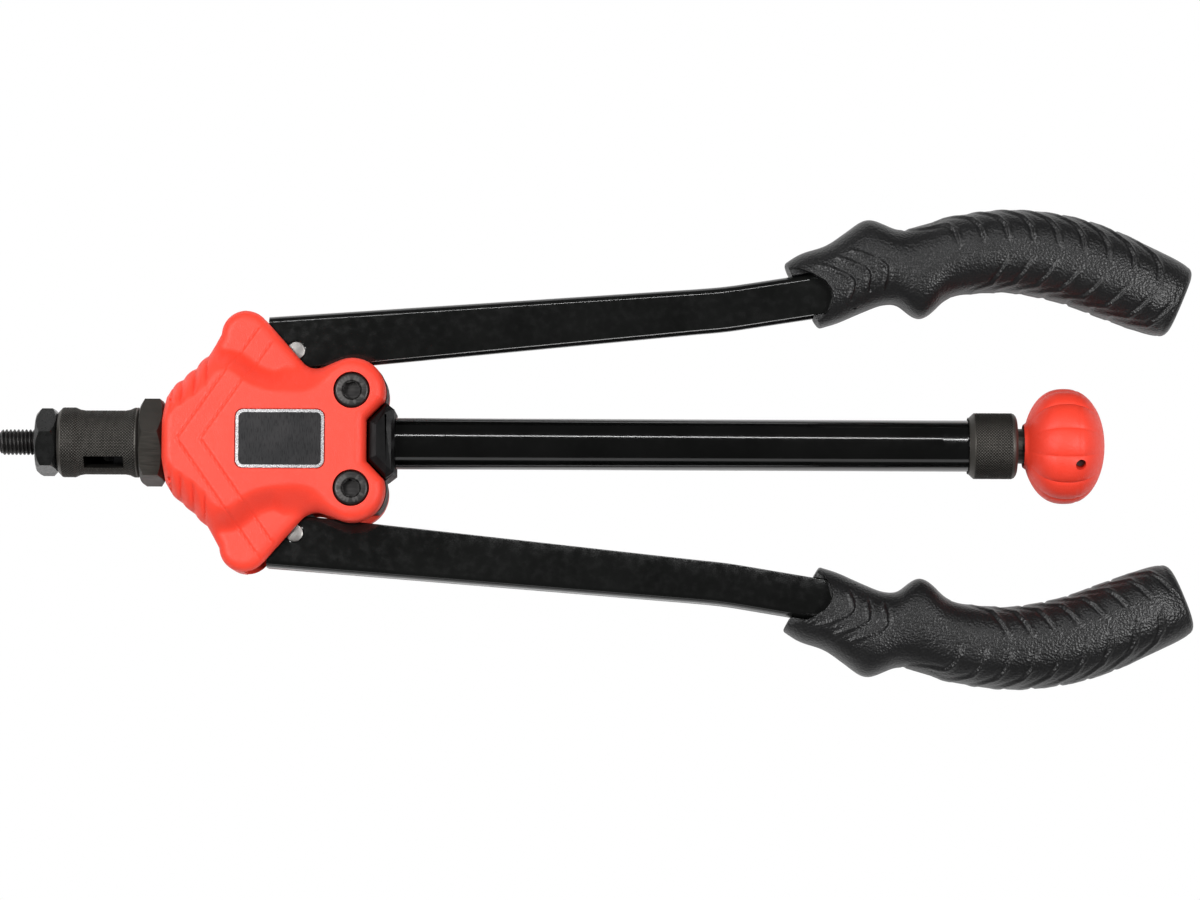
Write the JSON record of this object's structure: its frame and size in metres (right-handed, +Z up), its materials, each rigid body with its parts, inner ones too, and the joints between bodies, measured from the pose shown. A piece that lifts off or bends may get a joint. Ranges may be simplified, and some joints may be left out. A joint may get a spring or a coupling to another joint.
{
  "type": "rivet nut tool",
  "caption": "Long-arm hand tool that sets threaded rivet nuts: closing the arms pulls a threaded mandrel back through the nose.",
  "frame": {"origin": "centre of the bounding box's bottom face, on the surface the tool lies on", "axes": "+X from the nose to the knob, +Y across the arms, +Z up, out of the badge side"},
  "size_m": [0.453, 0.1826, 0.044],
  "materials": {
    "red_plastic": "fine textured moulding",
    "black_paint": "gloss",
    "dark_oxide": "black oxide",
    "bright_zinc": "zinc plated",
    "plain_steel": "machined",
    "black_rubber": "fine grained",
    "badge_finish": "satin rim round a black field",
    "bronze": "sintered"
  },
  "bodies": {
    "frame": {"frame": "black_paint", "top_cover": "red_plastic", "bottom_cover": "red_plastic", "badge_plate": "badge_finish", "centre_tube": "black_paint", "rear_bush": "bronze", "upper_cap_screw": "dark_oxide", "lower_cap_screw": "dark_oxide", "upper_screw_nut": "bright_zinc", "lower_screw_nut": "bright_zinc", "upper_fulcrum_pin": "plain_steel", "lower_fulcrum_pin": "plain_steel"},
    "upper_arm": {"upper_arm_channel": "black_paint", "upper_lever": "dark_oxide", "upper_link_pin": "bright_zinc", "upper_grip": "black_rubber"},
    "lower_arm": {"lower_arm_channel": "black_paint", "lower_lever": "dark_oxide", "lower_link_pin": "bright_zinc", "lower_grip": "black_rubber"},
    "upper_link": {"upper_link": "plain_steel"},
    "lower_link": {"lower_link": "plain_steel"},
    "pull_sleeve": {"pull_sleeve": "plain_steel", "upper_sleeve_pin": "plain_steel", "lower_sleeve_pin": "plain_steel", "thrust_washer": "bronze"},
    "spindle": {"spindle": "dark_oxide", "mandrel_adaptor": "bright_zinc", "mandrel": "dark_oxide", "knob": "red_plastic", "knob_screw": "dark_oxide"},
    "nose_sleeve": {"nose_sleeve": "dark_oxide"},
    "anvil": {"anvil": "black_paint"},
    "lock_nut": {"lock_nut": "dark_oxide"},
    "stroke_collar": {"stroke_collar": "dark_oxide"}
  },
  "joints": [
    {"name": "upper_arm_close", "type": "hinge", "parent": "frame", "child": "upper_arm", "pos_m": [-0.11606, 0.0245, 0.022], "axis": [0, 0, -1], "range_deg": [-13, 5.5]},
    {"name": "lower_arm_close", "type": "hinge", "parent": "frame", "child": "lower_arm", "pos_m": [-0.11606, -0.0223, 0.022], "axis": [0, 0, 1], "range_deg": [-13, 5.5]},
    {"name": "upper_link_turn", "type": "hinge", "parent": "upper_arm", "child": "upper_link", "pos_m": [-0.11366, 0.0357, 0.022], "axis": [0, 0, 1], "range_deg": [-13, 5.5]},
    {"name": "lower_link_turn", "type": "hinge", "parent": "lower_arm", "child": "lower_link", "pos_m": [-0.11375, -0.03352, 0.022], "axis": [0, 0, -1], "range_deg": [-13, 5.5]},
    {"name": "pull", "type": "slide", "parent": "frame", "child": "pull_sleeve", "axis": [1, 0, 0], "range_m": [-0.0023, 0.001]},
    {"name": "spindle_turn", "type": "hinge", "parent": "pull_sleeve", "child": "spindle", "pos_m": [0.16214, 0.0011, 0.022], "axis": [1, 0, 0], "continuous": true},
    {"name": "nose_sleeve_turn", "type": "hinge", "parent": "frame", "child": "nose_sleeve", "pos_m": [-0.18886, 0.0011, 0.022], "axis": [1, 0, 0], "range_deg": [-360, 360]},
    {"name": "anvil_turn", "type": "hinge", "parent": "nose_sleeve", "child": "anvil", "pos_m": [-0.20886, 0.0011, 0.022], "axis": [1, 0, 0], "range_deg": [-1080, 360]},
    {"name": "lock_nut_turn", "type": "hinge", "parent": "frame", "child": "lock_nut", "pos_m": [-0.16786, 0.0011, 0.022], "axis": [1, 0, 0], "range_deg": [-360, 360]},
    {"name": "stroke_collar_travel", "type": "slide", "parent": "frame", "child": "stroke_collar", "axis": [-1, 0, 0], "range_m": [0, 0.009]}
  ],
  "couplings": [
    {"joint": "lower_arm_close", "follows": "upper_arm_close", "ratio": 1},
    {"joint": "upper_link_turn", "follows": "upper_arm_close", "ratio": 0.935},
    {"joint": "lower_link_turn", "follows": "upper_arm_close", "ratio": 0.935},
    {"joint": "pull", "follows": "upper_arm_close", "m_per_rad": 0.0098}
  ]
}
